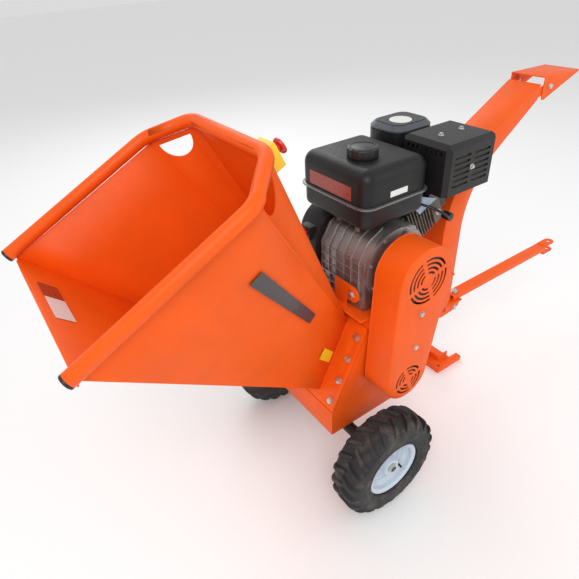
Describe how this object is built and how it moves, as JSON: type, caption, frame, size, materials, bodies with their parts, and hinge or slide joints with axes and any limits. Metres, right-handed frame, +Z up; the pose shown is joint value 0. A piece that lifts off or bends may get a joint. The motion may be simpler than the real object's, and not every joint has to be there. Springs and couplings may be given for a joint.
{
  "type": "towable petrol drum chipper",
  "caption": "Orange towable petrol wood chipper with a wide feed hopper, belt-driven knife drum, upright discharge chute, small pneumatic wheels and a tow bar.",
  "frame": {"origin": "on the ground, under the middle of the machine's bounding box", "axes": "+X rearwards, from the hopper to the tow hitch; +Y across the machine, from the belt guard's side to the recoil starter's side; +Z up"},
  "size_m": [1.9972, 0.69, 1.1688],
  "materials": {
    "orange_paint": "bright orange, semi-gloss powder coat",
    "black_plastic": "black, fine moulded texture",
    "tyre_rubber": "black, matt, chevron tread",
    "rim_paint": "pale blue-grey, satin sprayed paint",
    "zinc_steel": "silver grey, zinc plated, slightly dull",
    "cast_aluminium": "light grey, sand-cast skin",
    "black_steel": "black, satin heat-resistant paint",
    "satin_black": "dark grey-black, satin paint",
    "dark_steel": "brown-grey, heat-darkened",
    "cast_iron_grey": "dark grey, rough cast, machined faces",
    "tool_steel": "grey, ground",
    "red_plastic": "red, glossy moulded",
    "yellow_plastic": "yellow, semi-gloss moulded",
    "white_ceramic": "white, glazed",
    "belt_rubber": "black, matt, cloth-faced"
  },
  "bodies": {
    "chassis": {"hopper_floor": "orange_paint", "hopper_sides": "orange_paint", "hopper_roof": "orange_paint", "hopper_corners": "orange_paint", "rim_tube": "orange_paint", "rim_caps": "black_plastic", "hopper_flange": "orange_paint", "large_bolts": "zinc_steel", "small_bolts": "zinc_steel", "estop_box": "yellow_plastic", "casing_sides": "orange_paint", "casing_shell": "orange_paint", "rotor_liner": "tool_steel", "intake_plate": "orange_paint", "anvil_knife": "tool_steel", "engine_plate": "orange_paint", "rotor_bearings": "cast_iron_grey", "drive_belts": "belt_rubber", "belt_guard": "orange_paint", "guard_back": "orange_paint", "crankcase": "cast_aluminium", "crankcase_cover": "cast_aluminium", "cylinder": "cast_aluminium", "valve_cover": "black_steel", "spark_plug": "white_ceramic", "fuel_tank": "satin_black", "air_cleaner": "black_plastic", "carburettor": "cast_aluminium", "muffler": "dark_steel", "muffler_guard": "black_steel", "fan_shroud": "satin_black", "recoil_cover": "satin_black", "chute_sides": "orange_paint", "chute_walls": "orange_paint", "chute_flange": "orange_paint", "axle": "black_steel", "axle_nuts": "zinc_steel", "tow_bracket": "orange_paint", "tow_bolts": "zinc_steel", "rear_leg": "orange_paint", "rear_foot": "orange_paint"},
    "rotor": {"rotor_shaft": "tool_steel", "rotor_drum": "tool_steel", "rotor_knives": "tool_steel", "rotor_pulley": "cast_iron_grey"},
    "crank": {"crankshaft": "tool_steel", "clutch_pulley": "cast_iron_grey", "flywheel": "cast_aluminium"},
    "near_wheel": {"tyre_near": "tyre_rubber", "wheel_near": "rim_paint"},
    "far_wheel": {"tyre_far": "tyre_rubber", "wheel_far": "rim_paint"},
    "hood": {"deflector": "orange_paint"},
    "drawbar": {"tow_bar": "orange_paint", "hitch_clevis": "orange_paint"},
    "estop": {"estop_button": "red_plastic"},
    "cap": {"tank_cap": "black_plastic"},
    "starter_grip": {"recoil_grip": "black_plastic"},
    "switch": {"engine_switch": "red_plastic"},
    "throttle": {"throttle_lever": "black_steel"}
  },
  "joints": [
    {"name": "near_wheel_spin", "type": "hinge", "parent": "chassis", "child": "near_wheel", "pos_m": [-0.27044, -0.29, 0.1725], "axis": [0, 1, 0], "continuous": true},
    {"name": "far_wheel_spin", "type": "hinge", "parent": "chassis", "child": "far_wheel", "pos_m": [-0.27044, 0.29, 0.1725], "axis": [0, 1, 0], "continuous": true},
    {"name": "rotor_spin", "type": "hinge", "parent": "chassis", "child": "rotor", "pos_m": [-0.14494, 0, 0.398], "axis": [0, 1, 0], "continuous": true},
    {"name": "crank_spin", "type": "hinge", "parent": "chassis", "child": "crank", "pos_m": [-0.10844, 0, 0.733], "axis": [0, 1, 0], "continuous": true},
    {"name": "deflector_tilt", "type": "hinge", "parent": "chassis", "child": "hood", "pos_m": [0.59455, 0, 1.073], "axis": [0, 1, 0], "range_deg": [-10, 45]},
    {"name": "tow_bar_swing", "type": "hinge", "parent": "chassis", "child": "drawbar", "pos_m": [0.36256, 0, 0.347], "axis": [0, 0, 1], "range_deg": [-60, 60]},
    {"name": "estop_press", "type": "slide", "parent": "chassis", "child": "estop", "axis": [-0.9, 0, -0.436], "range_m": [0, 0.006], "stiffness_N_per_m": 1500},
    {"name": "tank_cap_turn", "type": "hinge", "parent": "chassis", "child": "cap", "pos_m": [-0.14844, -0.022, 1.03], "axis": [0, 0, 1], "range_deg": [0, 90]},
    {"name": "throttle_move", "type": "hinge", "parent": "chassis", "child": "throttle", "pos_m": [-0.17844, 0.15, 0.825], "axis": [0, 1, 0], "range_deg": [-35, 20]},
    {"name": "engine_switch_turn", "type": "hinge", "parent": "chassis", "child": "switch", "pos_m": [-0.24274, 0.112, 0.779], "axis": [-1, 0, 0], "range_deg": [0, 90]},
    {"name": "recoil_pull", "type": "slide", "parent": "chassis", "child": "starter_grip", "axis": [0, 0.9404, 0.3401], "range_m": [0, 0.5], "stiffness_N_per_m": 30, "springref_m": -0.05}
  ],
  "couplings": [
    {"joint": "crank_spin", "follows": "rotor_spin", "ratio": 0.71429}
  ]
}
